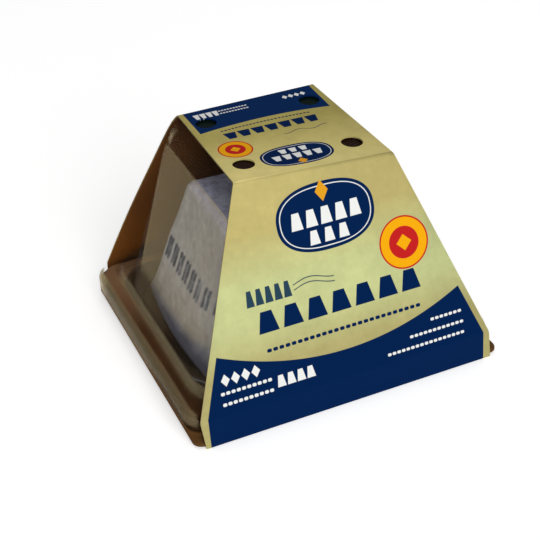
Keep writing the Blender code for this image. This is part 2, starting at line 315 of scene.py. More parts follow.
# Printed wavy lines, ink, place down, first and last point across, start of the wave, its
# turn in each millimetre, its swing and half the line's width
FRONT_WAVES = (
    (SOFT_NAVY, 30.2, -12.0, 0.0, -26.0, 0.42, 0.8, 0.14),
    (SOFT_NAVY, 31.6, -12.0, 0.0, -26.0, 0.42, 0.8, 0.14),
)
TOP_WAVES = ((NAVY, -1.6, 1.0, 14.6, 0.0, 0.8, 0.6, 0.12),)

# Painted reflection on the dome's flat sides
REFLECTION_FOOT = 20.5
REFLECTION_FADE = 1.4
REFLECTION_LEAST_X = 24.7
CREASE_LEAN = 0.02
CREASE_BELOW_SHOULDER = 0.5

# Painted reflection on the dome's rim and the band above it
BAND_REFLECTION_BELOW_TOP = 2.0
BAND_REFLECTION_HALF_HEIGHT = 1.5
RIM_REFLECTION_LEAST_X = 43.9
RIM_BACK_CORNER_X = 46.2
RIM_BACK_CORNER_Y = 38.0

# Painted highlights at the back corners of the cap, and painted shade on the lid
CORNER_HIGHLIGHT_X = 24.1
CORNER_HIGHLIGHT_Y = 22.6
CORNER_HIGHLIGHT_Z = 58.6
LID_HALF_WIDTH = 20.4
LID_HALF_DEPTH = 20.6
LID_FOOT = 59.5

# Grey bars on the dome's left side, in pairs
BARS_HEIGHT = 33.7
BARS_LEAN = 0.05
BARS_LARGEST_X = -10.0
BAR_FROM_PAIR = 0.85
BAR_HALF_WIDTH = 0.5
BAR_HALF_HEIGHT = 2.9

# Where the tray's browns and the painted shade in its basin meet
FLANGE_TONE_TOP = 3.6
SKIRT_TONE_TOP = 8.4
BASIN_TONE_TOP = 8.6
BASIN_TONE_HALF_WIDTH = 41.2
BASIN_TONE_HALF_DEPTH = 38.0


def arithmetic(operation):
    """Methods of one operator: with the field on its left, and with it on its right."""
    def left(self, other):
        return self.math(operation, other)

    def right(self, other):
        return self.finish.node("Math", {"operation": operation}, {0: other, 1: self})

    return left, right


class Field:
    """A value that varies over a surface: one output of a node, with arithmetic."""

    __add__, __radd__ = arithmetic("ADD")
    __sub__, __rsub__ = arithmetic("SUBTRACT")
    __mul__, __rmul__ = arithmetic("MULTIPLY")
    __truediv__, __rtruediv__ = arithmetic("DIVIDE")
    __pow__, __rpow__ = arithmetic("POWER")

    def __init__(self, finish, output):
        self.finish = finish
        self.output = output

    def math(self, operation, *others, clamp=False):
        """Add a Math node, whose result stays from 0 to 1 with `clamp`."""
        settings = {"operation": operation, "use_clamp": clamp}
        return self.finish.node("Math", settings, dict(enumerate((self, *others))))

    def __neg__(self):
        return self.math("MULTIPLY", -1.0)

    def __abs__(self):
        return self.math("ABSOLUTE")

    def at_least(self, other):
        return self.math("MAXIMUM", other)

    def at_most(self, other):
        return self.math("MINIMUM", other)

    def clamped(self):
        return self.math("ADD", 0.0, clamp=True)


class Finish:
    """A material and the ways to add nodes to it."""

    def __init__(self, name):
        self.material = bpy.data.materials.new(name)
        self.material.use_nodes = True
        self.tree = self.material.node_tree
        self.tree.nodes.clear()

    def node(self, kind, settings=None, inputs=None, output=0):
        """Add a node: its settings are set first, then its sockets get values or links."""
        node = self.tree.nodes.new("ShaderNode" + kind)
        for key, value in (settings or {}).items():
            if key == "stops":
                self.set_stops(node.color_ramp, value)
            else:
                setattr(node, key, value)
        for key, value in (inputs or {}).items():
            socket = node.inputs[key]
            if isinstance(value, Field):
                self.tree.links.new(value.output, socket)
            elif isinstance(value, tuple) and socket.type == "RGBA":
                socket.default_value = (*value, 1.0)
            else:
                socket.default_value = value
        return Field(self, node.outputs[output]) if node.outputs else None

    @staticmethod
    def set_stops(ramp, stops):
        while len(ramp.elements) < len(stops):
            ramp.elements.new(0.5)
        for element, (place, color) in zip(ramp.elements, stops):
            element.position = place
            element.color = (*color, 1.0)

    def scaled(self, vector, factor):
        """A place or a colour times a number or a field."""
        return self.node("VectorMath", {"operation": "SCALE"}, {0: vector, 3: factor})

    def place(self):
        """Coordinates of the shaded point in millimetres, as three fields."""
        spot = self.scaled(self.node("TexCoord", output=3), 1 / MM)
        return [self.node("SeparateXYZ", None, {0: spot}, axis) for axis in range(3)]

    def mix(self, mask, under, over):
        """Lay one colour over another where the mask is 1."""
        return self.node("Mix", {"data_type": "RGBA"}, {0: mask, 6: under, 7: over}, 2)

    def noise(self, per_metre, detail=2.0, roughness=0.5, distortion=0.0):
        inputs = {
            "Vector": self.node("TexCoord", output=3),
            "Scale": per_metre,
            "Detail": detail,
            "Roughness": roughness,
            "Distortion": distortion,
        }
        return self.node("TexNoise", None, inputs)

    def ramp(self, value, start, end, low=0.0, high=1.0):
        """Go from `low` to `high` while a value goes from `start` to `end`."""
        return self.node("MapRange", None, {0: value, 1: start, 2: end, 3: low, 4: high})

    def bump(self, height, strength, distance):
        inputs = {"Height": height, "Strength": strength, "Distance": distance}
        return self.node("Bump", None, inputs)

    def shader(self, inputs):
        return self.node("BsdfPrincipled", None, inputs)

    def finish(self, shader):
        self.node("OutputMaterial", None, {"Surface": shader})
        return self.material


def length(x, y):
    return (x * x + y * y).math("SQRT")


def printed(distance, blur=0.12):
    """Mask of a shape from the distance to its outline, negative inside."""
    return distance.math("MULTIPLY_ADD", -1 / blur, 0.5, clamp=True)


def ring(distance, half_line):
    """Distance to a line of a given half width along an outline."""
    return abs(distance) - half_line


def disc(x, y, radius):
    return length(x, y) - radius


def plaque(x, y, half_width, half_height, corner):
    """Distance to a rounded rectangle."""
    across = (abs(x) - (half_width - corner)).at_least(0.0)
    up = (abs(y) - (half_height - corner)).at_least(0.0)
    return length(across, up) - corner


def oval(x, y, half_width, half_height, power=2.4):
    """Distance to the outline of a full oval, along the line from its centre."""
    share = abs(x / half_width) ** power + abs(y / half_height) ** power
    share = share ** (1 / power)
    return length(x, y) * (share - 1.0) / share


def diamond(x, y, half_width, half_height):
    return abs(x) + abs(y) * (half_width / half_height) - half_width


def pyramid(x, y, half_foot, half_top, half_height):
    """Distance to a truncated pyramid seen from the front, its foot at negative y."""
    side = abs(x) + y * ((half_foot - half_top) / (2 * half_height))
    return (side - (half_foot + half_top) / 2).at_least(abs(y) - half_height)


def row_of(x, first, count, pitch):
    """Coordinate across the nearest of several equal shapes that stand in a row."""
    end = first + (count - 1) * pitch
    nearest = (x - (first - pitch / 2)).math("SNAP", pitch) + first
    return x - nearest.at_least(first).at_most(end)


def dashes(x, y, first, last, pitch, half_height):
    """Distance to a broken line of small rounded dashes."""
    count = round((last - first) / pitch) + 1
    across = row_of(x, first, count, pitch)
    half_width = 0.38 * pitch
    corner = 0.8 * half_height
    return plaque(across, y, half_width, half_height, corner)


def wave(x, y, first, last, start, turn, swing, half_line):
    """Distance to a thin wavy line."""
    height = y + ((x - start) * turn).math("SINE") * swing
    beyond_ends = abs(x - (first + last) / 2) - (last - first) / 2
    return ring(height, half_line).at_least(beyond_ends)


def navy_field(x, z, shift, top_half_width, foot_half_width):
    """Distance to the navy foot of a panel, arched above, with a gold border beside it."""
    drop = SLEEVE_HEIGHT / MM - z
    edge = (drop * FIELD_SPREAD + top_half_width).at_most(foot_half_width)
    arch = FIELD_ARCH - x * x * FIELD_ARCH_BEND - drop * PANEL_STRETCH
    return (abs(x - shift) - (edge - FIELD_BORDER)).at_least(arch)


def badge(x, y, half_width, half_height, inset, half_line):
    """Shapes and inks of a navy oval with a thin pale line inside its edge."""
    edge = oval(x, y, half_width, half_height)
    return [(edge, NAVY), (ring(edge + inset, half_line), PALE)]


def seal(x, y, radius, middle, half_gem, half_line):
    """Shapes and inks of a yellow disc with a red rim, a red middle and a diamond."""
    edge = disc(x, y, radius)
    return [
        (edge, SEAL_YELLOW),
        (ring(edge, half_line), SEAL_RED),
        (disc(x, y, middle), SEAL_RED),
        (diamond(x, y, half_gem, half_gem), SEAL_YELLOW),
    ]


def pyramid_rows(x, down, rows):
    """Shapes and inks of a table of pyramids."""
    return [
        (pyramid(row_of(x, first, count, pitch), place - down, *size), ink)
        for ink, place, first, count, pitch, *size in rows
    ]


def dash_lines(x, down, lines):
    """Shapes and inks of a table of dashes."""
    return [(dashes(x, down - place, *layout), ink) for ink, place, *layout in lines]


def wavy_lines(x, down, lines):
    """Shapes and inks of a table of wavy lines."""
    return [(wave(x, down - place, *layout), ink) for ink, place, *layout in lines]


def lay_print(card, color, shapes, panel):
    """Lay shapes on a colour, each in its ink, where the panel's mask is 1."""
    for distance, ink in shapes:
        color = card.mix(printed(distance) * panel, color, ink)
    return color


def down_panel(z):
    """Way down a front or back panel from its top fold, along the card."""
    return (SLEEVE_HEIGHT / MM - z) * PANEL_STRETCH


def front_print(card, x, y, z, ground):
    """Lay the front panel's print on a colour."""
    down = down_panel(z)
    shapes = [
        (navy_field(x, z, *FRONT_FIELD), NAVY),
        *badge(x - 0.9, down - 14.5, half_width=14.3, half_height=9.2, inset=1.1, half_line=0.14),
        (diamond(x - 0.9, down - 7.8, half_width=1.9, half_height=2.9), GOLD_LEAF),
        *seal(x - 22.0, down - 27.5, radius=7.2, middle=4.5, half_gem=2.3, half_line=0.22),
        *pyramid_rows(x, down, FRONT_PYRAMIDS),
        *wavy_lines(x, down, FRONT_WAVES),
        (diamond(row_of(x, first=-35.6, count=4, pitch=2.9), down - 50.2, 1.25, 1.7), PALE),
        *dash_lines(x, down, FRONT_DASHES),
    ]
    return lay_print(card, ground, shapes, printed(y - FRONT_PRINT_BACK))


def top_print(card, x, y, z, ground):
    """Lay the top's print on a colour with painted light at its front and painted shade at its
    back: the front's design, small and turned round.
    """
    top = printed(abs(y) - TOP_HALF_DEPTH / MM) * printed(TOP_PRINT_FOOT - z)
    # painted light towards the top's front fold, painted shade towards its back
    top_light_and_shade = card.mix(card.ramp(y, -19.0, 4.0), TOP_FRONT_PAINTED_LIGHT, TOP_BACK_PAINTED_SHADE)
    top_light_and_shade = card.mix(top, WHITE, top_light_and_shade)
    color = card.node("VectorMath", {"operation": "MULTIPLY"}, {0: ground, 1: top_light_and_shade})
    arch = TOP_FIELD_ARCH - x * x * TOP_FIELD_ARCH_BEND - y
    bowed = y - 7.3 + x * x * TOP_LINE_BEND
    shapes = [
        ((abs(x) - TOP_FIELD_HALF_WIDTH).at_least(arch), TOP_NAVY),
        *badge(x + 0.7, y + 14.0, half_width=10.4, half_height=5.6, inset=0.8, half_line=0.1),
        (diamond(x + 0.7, y + 17.7, half_width=1.4, half_height=1.5), GOLD_LEAF),
        *seal(x + 14.7, y + 4.8, radius=4.6, middle=2.8, half_gem=1.5, half_line=0.2),
        *pyramid_rows(x, y, TOP_PYRAMIDS),
        *wavy_lines(x, y, TOP_WAVES),
        (diamond(row_of(x, first=10.4, count=4, pitch=1.9), y - 18.2, 0.85, 1.1), PALE),
        (dashes(x, bowed, first=-13.9, last=13.0, pitch=1.1, half_height=0.28), NAVY),
        *dash_lines(x, y, TOP_DASHES),
    ]
    return lay_print(card, color, shapes, top)


def back_print(card, x, y, z, ground):
    """Lay the back panel's plain print on a colour: a navy field, pyramids and dashes."""
    down = down_panel(z)
    shapes = [
        (navy_field(x, z, *BACK_FIELD), NAVY),
        *pyramid_rows(x, down, BACK_PYRAMIDS),
        *dash_lines(x, down, BACK_DASHES),
    ]
    return lay_print(card, ground, shapes, printed(BACK_PRINT_FRONT - y))


def printed_card():
    """Gold card with a lime middle, navy fields and small plain figures."""
    card = Finish("printed_card")
    x, y, z = card.place()
    gold = card.node("ValToRGB", {"stops": CARD_STOPS}, {0: z * (MM / SLEEVE_HEIGHT)})
    cloud = card.noise(90.0, 3.0, 0.6)
    fleck = card.noise(420.0, 2.0, 0.6)
    mottle = card.ramp(cloud * 0.6 + fleck * 0.4, 0.35, 0.65, low=0.90, high=1.06)
    far_right = card.ramp(x + z * 0.6, 28.0, 62.0, low=1.0, high=0.84)
    color = card.scaled(gold, mottle * far_right)
    color = front_print(card, x, y, z, color)
    color = top_print(card, x, y, z, color)
    color = back_print(card, x, y, z, color)
    underside = printed(z - UNDERSIDE_HEIGHT) * printed(abs(y) - UNDERSIDE_HALF_DEPTH)
    grain = card.noise(2600.0, 3.0, 0.6)
    return card.finish(card.shader({
        "Base Color": card.mix(underside, color, CARD_GOLD),
        "Roughness": fleck * 0.12 + 0.40,
        "Specular IOR Level": 0.02,
        "Normal": card.bump(grain, strength=0.12, distance=0.05 * MM),
    }))


def bare_card(name, color):
    """Uncoated card with short fibres, with painted light towards its foot and painted shade at
    its top.
    """
    card = Finish(name)
    height = card.place()[2]
    fibre = card.noise(900.0, 4.0, 0.7, 1.5)
    cloud = card.noise(60.0, 2.0)
    dark = tuple(level * 0.6 for level in color)
    tone = card.mix((fibre * 0.6 + cloud * 0.4).clamped(), dark, color)
    # painted light towards the foot, painted shade near the top
    painted_foot_light = card.ramp(height, 32.0, 14.0, low=1.0, high=1.65)
    painted_top_shade = card.ramp(height, 62.0, 48.0, low=0.6, high=1.0)
    return card.finish(card.shader({
        "Base Color": card.scaled(tone, painted_foot_light * painted_top_shade),
        "Roughness": 0.85,
        "Specular IOR Level": 0.2,
        "Normal": card.bump(card.noise(300.0, 1.0), strength=0.1, distance=0.08 * MM),
    }))


def panel_half_depth(z):
    """Distance from the middle to the outside of the front panel at a height."""
    return TOP_HALF_DEPTH + PANEL_SLOPE * (SLEEVE_HEIGHT - z)


def face_gap():
    """Level distance from the card's outside to the dome's wall behind it."""
    return CARD_THICKNESS / math.cos(math.atan(PANEL_SLOPE)) + CLEARANCE


def side_painted_reflection(plastic, x, y, z):
    """Painted reflection on the dome's flat sides, painted highlights along two creases, and a
    fainter painted reflection below.
    """
    drop = y * CREASE_LEAN - z + (SHOULDER_HEIGHT / MM - CREASE_BELOW_SHOULDER)
    half = (panel_half_depth(SHOULDER_HEIGHT) - face_gap()) / MM
    crease = y + drop * (CORNER_GROWTH - PANEL_SLOPE) - (half + 0.4)
    panel = printed(crease.at_least(-drop).at_least(REFLECTION_LEAST_X - abs(x)), blur=0.4)
    fade = plastic.ramp(z, REFLECTION_FOOT - REFLECTION_FADE, REFLECTION_FOOT + REFLECTION_FADE)
    cloud = plastic.noise(120.0, 3.0, 0.6)
    # painted reflection over the flat panels
    veil = cloud * 0.04 + plastic.ramp(z, 46.0, 26.0, low=0.116, high=0.13)
    # painted highlights along the back crease and the upper crease
    back_line = printed(ring(crease + 0.6, half_line=0.4), blur=0.5) * 0.10
    whiter = plastic.ramp(y, 2.0, -14.0, low=0.12, high=0.34)
    upper_line = printed(ring(drop - 0.1, half_line=0.14), blur=0.2) * whiter
    upper_line *= printed(crease + 2.0, blur=0.4)
    # fainter painted reflection low on the wall, above the band
    ends = plastic.ramp(y, -12.0, 8.0, low=0.004, high=0.055) * plastic.ramp(y, 22.0, 17.0)
    below = printed(z - REFLECTION_FOOT, blur=2.8) * printed(BAND_HEIGHT / MM - z, blur=0.4)
    return (veil + back_line) * panel * fade + upper_line + (cloud + 0.5) * ends * below


def rim_painted_reflection(plastic, x, y, z):
    """Painted reflection on the band and the rim's two sides, strongest at the rim's back corners.
    """
    from_middle = z - (BAND_HEIGHT / MM - BAND_REFLECTION_BELOW_TOP)
    # painted reflection on the band
    band = printed(ring(from_middle, BAND_REFLECTION_HALF_HEIGHT), blur=0.4)
    band *= plastic.ramp(y, 34.0, 29.0, low=0.02, high=0.15)
    across = x - RIM_SHIFT / MM
    edge = plaque(across, y, RIM_HALF_WIDTH / MM, RIM_HALF_DEPTH / MM, RIM_CORNER / MM)
    inner = plastic.ramp(y, 20.0, -20.0, low=-1.6, high=-2.3) - edge
    lower = plastic.ramp(y, 5.0, -20.0, low=2.0, high=6.2) - z
    outer = printed(inner, blur=0.8) * printed(lower, blur=1.2)
    outer *= printed(RIM_REFLECTION_LEAST_X - abs(across), blur=0.8)
    below_ledge = printed(z - (LEDGE_HEIGHT / MM + 0.4), blur=0.4)
    corner = length(abs(x) - RIM_BACK_CORNER_X, y - RIM_BACK_CORNER_Y)
    # painted reflection on the rim's sides, brightest at its back corners
    veil = plastic.ramp(y, -10.0, 28.0, low=0.11, high=0.15)
    veil += plastic.ramp(corner, 8.0, 2.0, low=0.0, high=0.36)
    return band + veil * outer * below_ledge


def painted_corner_highlights(plastic, x, y, z):
    """Painted highlights at the two back corners of the cap."""
    level = length(abs(x) - CORNER_HIGHLIGHT_X, y - CORNER_HIGHLIGHT_Y)
    away = length(level, z - CORNER_HIGHLIGHT_Z)
    # noise that roughens the outline of the painted highlights
    ragged = plastic.noise(900.0, 2.0, 0.6)
    return plastic.ramp(away + ragged * 3.0, 4.2, 2.4, low=0.0, high=0.30)


def painted_lid_shade(x, y, z):
    """Mask of painted shade on the lid, which shows dark through the vent holes."""
    side = (abs(x) - LID_HALF_WIDTH).at_least(abs(y) - LID_HALF_DEPTH)
    return printed(side.at_least(LID_FOOT - z), blur=0.6) * 0.96


def grey_marks(plastic, x, y, z):
    """A row of plain printed bars on the left side, in pairs, some paler than others."""
    pair = row_of(y, first=-28.2, count=8, pitch=4.6)
    bar = ring(abs(pair) - BAR_FROM_PAIR, BAR_HALF_WIDTH)
    row = ring(z - BARS_HEIGHT - y * BARS_LEAN, BAR_HALF_HEIGHT)
    bars = bar.at_least(row).at_least(x - BARS_LARGEST_X)
    worn = plastic.noise(330.0, 2.0, 0.7) * 2.0 - 0.2
    paler = plastic.ramp(y, -24.0, 2.0, low=0.6, high=0.85)
    return printed(bars, blur=0.6) * worn.clamped() * paler


def clear_plastic():
    """Clear plastic with painted reflections on its sides and rim, painted highlights at two
    corners, grey marks and painted shade on the lid.

    One shader is painted reflection, marks, painted lid shade and gloss together, mixed over
    what is seen through.
    """
    plastic = Finish("clear_plastic")
    x, y, z = plastic.place()
    # painted reflections and painted corner highlights
    painted_reflection = side_painted_reflection(plastic, x, y, z) + rim_painted_reflection(plastic, x, y, z)
    painted_reflection += painted_corner_highlights(plastic, x, y, z) + 0.001
    lid_shade = painted_lid_shade(x, y, z)
    marks = grey_marks(plastic, x, y, z)
    facing = plastic.node("LayerWeight", None, {"Blend": 0.5}, 1)
    gloss = facing ** 14 * 0.50 + 0.0015
    total = painted_reflection.at_least(marks).at_least(lid_shade) + gloss
    mirror = gloss / total
    tone = plastic.mix((marks * 4.0).clamped(), REFLECTION_TAN, MARK_GREY)
    # painted shade seen through the vent holes
    vent_shade = plastic.mix(printed(-y), VENT_SHADE_BROWN, VENT_SHADE_GREEN)
    tone = plastic.mix((lid_shade * 3.0).clamped(), tone, vent_shade)
    surface = plastic.shader({
        "Base Color": plastic.mix(mirror, tone, (0.95, 0.95, 0.95)),
        "Metallic": mirror,
        "Roughness": 0.14,
        "Specular IOR Level": 0.02,
    })
    through = plastic.node("BsdfTransparent", None, {0: (0.99, 0.99, 0.99)})
    return plastic.finish(plastic.node("MixShader", None, {0: total, 1: through, 2: surface}))


def brown_plastic():
    """Satin brown plastic, a little uneven in tone, lighter behind, with painted shade in its
    basin that is darker at the front.
    """
    plastic = Finish("brown_plastic")
    x, y, z = plastic.place()
    cloud = plastic.noise(70.0, 3.0, 0.6)
    fine = plastic.noise(700.0, 2.0)
    warm = tuple(level * factor for level, factor in zip(TRAY_BROWN, TRAY_WARMTH))
    brown = plastic.mix(plastic.ramp(cloud, 0.35, 0.65), TRAY_BROWN, warm)
    brown = plastic.mix(plastic.ramp(y, 2.0, 30.0), brown, LEDGE_BROWN)
    brown = plastic.mix(printed(z - SKIRT_TONE_TOP, blur=0.8), brown, SKIRT_BROWN)
    brown = plastic.mix(printed(z - FLANGE_TONE_TOP, blur=0.8), brown, FLANGE_BROWN)
    # painted shade in the basin, darker towards the front
    side = (abs(x) - BASIN_TONE_HALF_WIDTH).at_least(abs(y) - BASIN_TONE_HALF_DEPTH)
    basin_shade = printed(side.at_least(z - BASIN_TONE_TOP), blur=1.6)
    shade = plastic.mix(plastic.ramp(y, -8.0, 16.0), BASIN_SHADE_DARK, BASIN_SHADE_BROWN)
    return plastic.finish(plastic.shader({
        "Base Color": plastic.mix(basin_shade, brown, shade),
        "Roughness": fine * 0.15 + 0.35,
        "Specular IOR Level": 0.0,
        "Normal": plastic.bump(fine, strength=0.05, distance=0.1 * MM),
    }))


def ash_rind():
    """Grey ash with paler mould and blue on its top, with painted shade along its edges, and
    darker ash with painted shade at its foot.
    """
    rind = Finish("ash_rind")
    x, y, z = rind.place()
    patch = rind.noise(60.0, 4.0, 0.55)
    speck = rind.noise(420.0, 4.0, 0.65)
    uneven_z = z + patch * 4.0
    bloom = rind.ramp(patch * 0.45 + speck * 0.55, 0.34, 0.64)
    paler = rind.ramp(z, 28.0, 14.0, low=0.94, high=1.16)
    tone = rind.scaled(rind.mix(bloom, ASH, MOULD), paler)
    blue = rind.mix(rind.ramp(speck, 0.36, 0.60), ASH_SHADE, ASH_BLUE)
    tone = rind.mix(rind.ramp(uneven_z, 43.5, 46.0), tone, blue)
    lean = (CHEESE_TOP_HALF - CHEESE_BASE_HALF) / CHEESE_HEIGHT
    corner = abs(x).at_most(abs(y)) / (z * lean + (CHEESE_BASE_HALF / MM + 1.0))
    # painted shade along the cheese's upright edges
    painted_edge_shade = rind.ramp(corner + patch * 0.06, 0.86, 1.03, low=0.0, high=0.7)
    tone = rind.mix(painted_edge_shade, tone, SHADED_ASH)
    # darker ash and painted shade at the foot, deep in the tray
    foot_ash_and_shade = rind.ramp(uneven_z, 11.4, 8.0, low=0.0, high=0.95)
    pit = rind.noise(1500.0, 3.0, 0.65)
    return rind.finish(rind.shader({
        "Base Color": rind.mix(foot_ash_and_shade, tone, SHADED_ASH),
        "Roughness": 0.9,
        "Specular IOR Level": 0.15,
        "Normal": rind.bump(pit * 0.5 + speck, strength=0.3, distance=0.25 * MM),
    }))


def pale_floor():
    """Matt white that glows a little, so that it stays pale under the soft light."""
    pale = Finish("pale_floor")
    return pale.finish(pale.shader({
        "Base Color": FLOOR_TONE,
        "Roughness": 0.8,
        "Specular IOR Level": 0.2,
        "Emission Color": WHITE,
        "Emission Strength": FLOOR_GLOW,
    }))


def mesh_from_bmesh(name, bm):
    mesh = bpy.data.meshes.new(name)
    bm.to_mesh(mesh)
    bm.free()
    return mesh


def add_piece(name, mesh, materials, node):
    """Show a mesh as a piece of the body that stands for one solid of the frame."""
    piece = bpy.data.objects.new(name, mesh)
    bpy.context.scene.collection.objects.link(piece)
    for material in materials:
        mesh.materials.append(material)
    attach(piece, "root")
    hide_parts(node)
    return piece


def add_wall(piece, thickness):
    """Give an open surface its thickness, on the side away from its normals."""
    wall = piece.modifiers.new("wall", "SOLIDIFY")
    wall.thickness = thickness
    wall.offset = -1.0
    wall.use_even_offset = True
    return wall


def share_of_way(value, start, end):
    """How far a value is from start to end, from 0 to 1."""
    return min(max((value - start) / (end - start), 0.0), 1.0)


def hump(share):
    """A curve that is 0 at both ends of a panel and 1 in its middle."""
    return 4 * share * (1 - share)


def waves(point, per_metre, shift=Vector()):
    """Smooth noise in space, with about so many waves in a metre."""
    return noise.noise(point * per_metre + shift)


def sag(x, y):
    """How far the top has settled at a point: all of it at the front right corner."""
    rightward = share_of_way(x, -TOP_FRONT_HALF_WIDTH, TOP_FRONT_HALF_WIDTH)
    forward = share_of_way(-y, -TOP_HALF_DEPTH, TOP_HALF_DEPTH)
    return CORNER_SAG * rightward * forward


def sleeve_row(half_width, y, z, shift=0.0):
    """One straight row of points across the sleeve."""
    return [
        Vector((shift + half_width * (2 * i / SLEEVE_COLUMNS - 1), y, z))
        for i in range(SLEEVE_COLUMNS + 1)
    ]


def top_front_row():
    """The fold between front and top, which runs down the front panel to the right."""
    row = []
    for i in range(SLEEVE_COLUMNS + 1):
        across = i / SLEEVE_COLUMNS
        drop = CORNER_SAG * across
        half_width = TOP_FRONT_HALF_WIDTH + EDGE_SLOPE * drop * across
        x = half_width * (2 * across - 1)
        row.append(Vector((x, -TOP_HALF_DEPTH - PANEL_SLOPE * drop, SLEEVE_HEIGHT - drop)))
    return row


def back_bow(share):
    """How far the back panel stands out, at a share of its way down from the top fold.

    It bows as a whole, and bulges where the card bends round the dome below the fold.
    """
    near = share / FOLD_BULGE_SHARE
    return BACK_BOW * hump(share) + FOLD_BULGE * near * math.exp(1 - near)


def rows_between(low, high, outward, bow=None, crowding=1.0):
    """Rows between two folds, with a bow and the card's faint ripple along `outward`."""
    rows = []
    for step in range(1, PANEL_ROWS):
        share = (step / PANEL_ROWS) ** crowding
        stand = bow(share) if bow else 0.0
        row = []
        for a, b in zip(low, high):
            point = a.lerp(b, share)
            ripple = CARD_RIPPLE * hump(share) * waves(point, per_metre=35.0)
            row.append(point + outward * (stand + ripple))
        rows.append(row)
    return rows


def build_band():
    """The band as an open surface, closed on itself under the tray."""
    foot = sleeve_row(FOOT_HALF_WIDTH, -FOOT_HALF_DEPTH, 0.0, FOOT_SHIFT)
    fold = sleeve_row(FOLD_HALF_WIDTH, -FOLD_HALF_DEPTH, FOLD_HEIGHT, FOLD_SHIFT)
    front = top_front_row()
    back = sleeve_row(TOP_BACK_HALF_WIDTH, TOP_HALF_DEPTH, SLEEVE_HEIGHT)
    back_fold = sleeve_row(BACK_FOLD_HALF_WIDTH, FOLD_HALF_DEPTH, FOLD_HEIGHT, BACK_FOLD_SHIFT)
    back_foot = sleeve_row(BACK_FOOT_HALF_WIDTH, FOOT_HALF_DEPTH, 0.0, FOOT_SHIFT)
    lean = FOLD_HALF_DEPTH - TOP_HALF_DEPTH
    forward = Vector((0.0, -PANEL_DROP, lean)).normalized()
    backward = Vector((0.0, PANEL_DROP, lean)).normalized()
    downward = Vector((0.0, 0.0, -1.0))
    rows = [foot, fold, *rows_between(fold, front, forward), front]
    rows += [*rows_between(front, back, downward), back]
    rows += rows_between(back, back_fold, backward, back_bow, BACK_ROW_CROWDING)
    rows += [back_fold, back_foot]
    bm = bmesh.new()
    rows = [[bm.verts.new(point) for point in row] for row in rows]
    for low, high in zip(rows, rows[1:] + rows[:1]):
        for i in range(SLEEVE_COLUMNS):
            bm.faces.new((low[i], low[i + 1], high[i + 1], high[i]))
    return mesh_from_bmesh("sleeve_card", bm)


def add_vent_cutter(x, y, collection):
    """A short upright cylinder through the top of the sleeve."""
    bm = bmesh.new()
    bmesh.ops.create_cone(
        bm,
        cap_ends=True,
        segments=VENT_CUTTER_SIDES,
        radius1=VENT_RADIUS,
        radius2=VENT_RADIUS,
        depth=VENT_CUTTER_DEPTH,
    )
    cutter = bpy.data.objects.new("vent_cutter", mesh_from_bmesh("vent_cutter", bm))
    cutter.location = (x, y, SLEEVE_HEIGHT - CORNER_SAG / 2)
    cutter.hide_render = True
    cutter.hide_viewport = True
    cutter.display_type = "WIRE"
    collection.objects.link(cutter)


def add_vents(sleeve):
    """Cut the four vent holes through the sleeve's top."""
    cutters = bpy.data.collections.new("vent_cutters")
    bpy.context.scene.collection.children.link(cutters)
    for side_x in (-1, 1):
        for side_y in (-1, 1):
            add_vent_cutter(side_x * VENT_X, side_y * VENT_Y, cutters)
    vents = sleeve.modifiers.new("vents", "BOOLEAN")
    vents.operation = "DIFFERENCE"
    vents.operand_type = "COLLECTION"
    vents.collection = cutters


def build_sleeve():
    """The band of card with rounded folds, its thickness and its vent holes."""
    mesh = build_band()
    materials = [
        printed_card(),
        bare_card("card_inside", CARD_INSIDE),
        bare_card("card_cut_edge", CARD_EDGE),
    ]
    sleeve = add_piece("sleeve_card", mesh, materials, "sleeve")
    mesh.shade_smooth()
    folds = sleeve.modifiers.new("folds", "BEVEL")
    folds.width = FOLD_ROUNDING
    folds.segments = FOLD_SEGMENTS
    folds.limit_method = "ANGLE"
    folds.angle_limit = LEAST_FOLD_ANGLE
    wall = add_wall(sleeve, CARD_THICKNESS)
    wall.material_offset = 1
    wall.material_offset_rim = 2
    add_vents(sleeve)
    even = sleeve.modifiers.new("even_shading", "WEIGHTED_NORMAL")
    even.keep_sharp = True


def rounded_ring(half_x, half_y, radius, z, shift=0.0):
    """Points of a rounded rectangle, anticlockwise seen from above."""
    points = []
    for quarter, (side_x, side_y) in enumerate(((1, 1), (-1, 1), (-1, -1), (1, -1))):
        for step in range(ARC_STEPS + 1):
            angle = math.radians(90 * quarter + 90 * step / ARC_STEPS)
            x = shift + side_x * (half_x - radius) + radius * math.cos(angle)
            y = side_y * (half_y - radius) + radius * math.sin(angle)
            points.append(Vector((x, y, z)))
    return points


def softened(sections, reach, steps=4, largest_share=0.45):
    """Round the bends of a profile with short curves, each a share of the way at most.

    A section is half width, half depth, corner radius, height and, if any, shift.
    """
    rows = [Vector((*section, 0.0)[:5]) for section in sections]
    result = [rows[0]]
    for before, bend, after in zip(rows, rows[1:], rows[2:]):
        start, end = (
            bend + (other - bend) * min(reach / (other - bend).length, largest_share)
            for other in (before, after)
        )
        for step in range(steps + 1):
            share = step / steps
            result.append(start.lerp(bend, share).lerp(bend.lerp(end, share), share))
    return result + [rows[-1]]


def loft(name, rings, centre):
    """Skin a row of equal rings, sharp at the open first one, up to a centre point."""
    bm = bmesh.new()
    rows = [[bm.verts.new(point) for point in points] for points in rings]
    count = len(rows[0])
    for low, high in zip(rows, rows[1:]):
        for i in range(count):
            j = (i + 1) % count
            bm.faces.new((low[i], low[j], high[j], high[i]))
    hub = bm.verts.new(centre)
    for i in range(count):
        bm.faces.new((rows[-1][i], rows[-1][(i + 1) % count], hub))
    for edge in bm.edges:
        edge.smooth = not edge.is_boundary
    mesh = mesh_from_bmesh(name, bm)
    mesh.shade_smooth()
    return mesh


